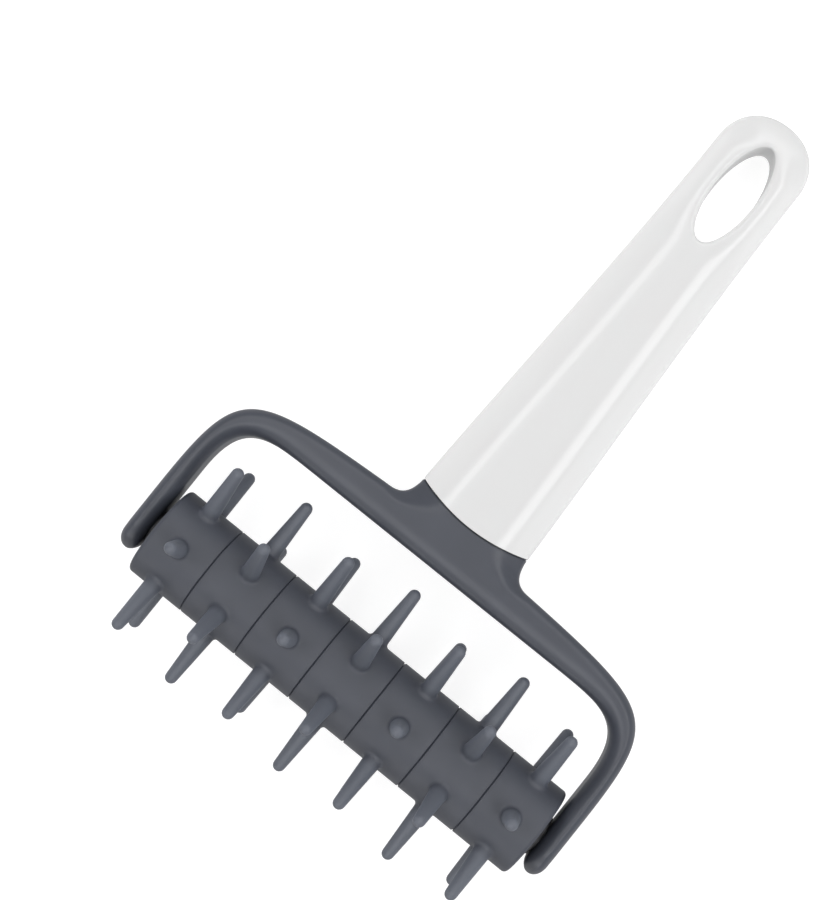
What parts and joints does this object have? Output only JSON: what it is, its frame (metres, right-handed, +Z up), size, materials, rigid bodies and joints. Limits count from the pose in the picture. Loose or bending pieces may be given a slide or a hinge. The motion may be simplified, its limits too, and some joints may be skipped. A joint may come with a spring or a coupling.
{
  "type": "dough docker",
  "caption": "Hand-held dough docker: a roller of staggered round-tipped spikes turns in a U-shaped yoke on a tapered flat handle with an oval hanging hole.",
  "frame": {"origin": "on the table under the middle of the docker, which lies on its spikes and on the end of its handle", "axes": "+X along the roller, +Y from the roller towards the end of the handle, +Z up out of the face that shows the yoke's outline"},
  "size_m": [0.12, 0.1822, 0.0506],
  "materials": {
    "handle_plastic": "smooth gloss, white",
    "slate_plastic": "satin, slate grey",
    "bearing_plastic": "plain, near black",
    "axle_steel": "ground rod"
  },
  "bodies": {
    "frame": {"handle": "handle_plastic", "yoke": "slate_plastic", "left_bush": "bearing_plastic", "right_bush": "bearing_plastic"},
    "roller": {"axle": "axle_steel", "roller_core": "bearing_plastic", "spike_ring_1": "slate_plastic", "spike_ring_2": "slate_plastic", "spike_ring_3": "slate_plastic", "spike_ring_4": "slate_plastic", "spike_ring_5": "slate_plastic", "spike_ring_6": "slate_plastic", "spike_ring_7": "slate_plastic"}
  },
  "joints": [
    {"name": "roller_spin", "type": "hinge", "parent": "frame", "child": "roller", "pos_m": [0, -0.06583, 0.0253], "axis": [1, 0, 0], "continuous": true}
  ]
}
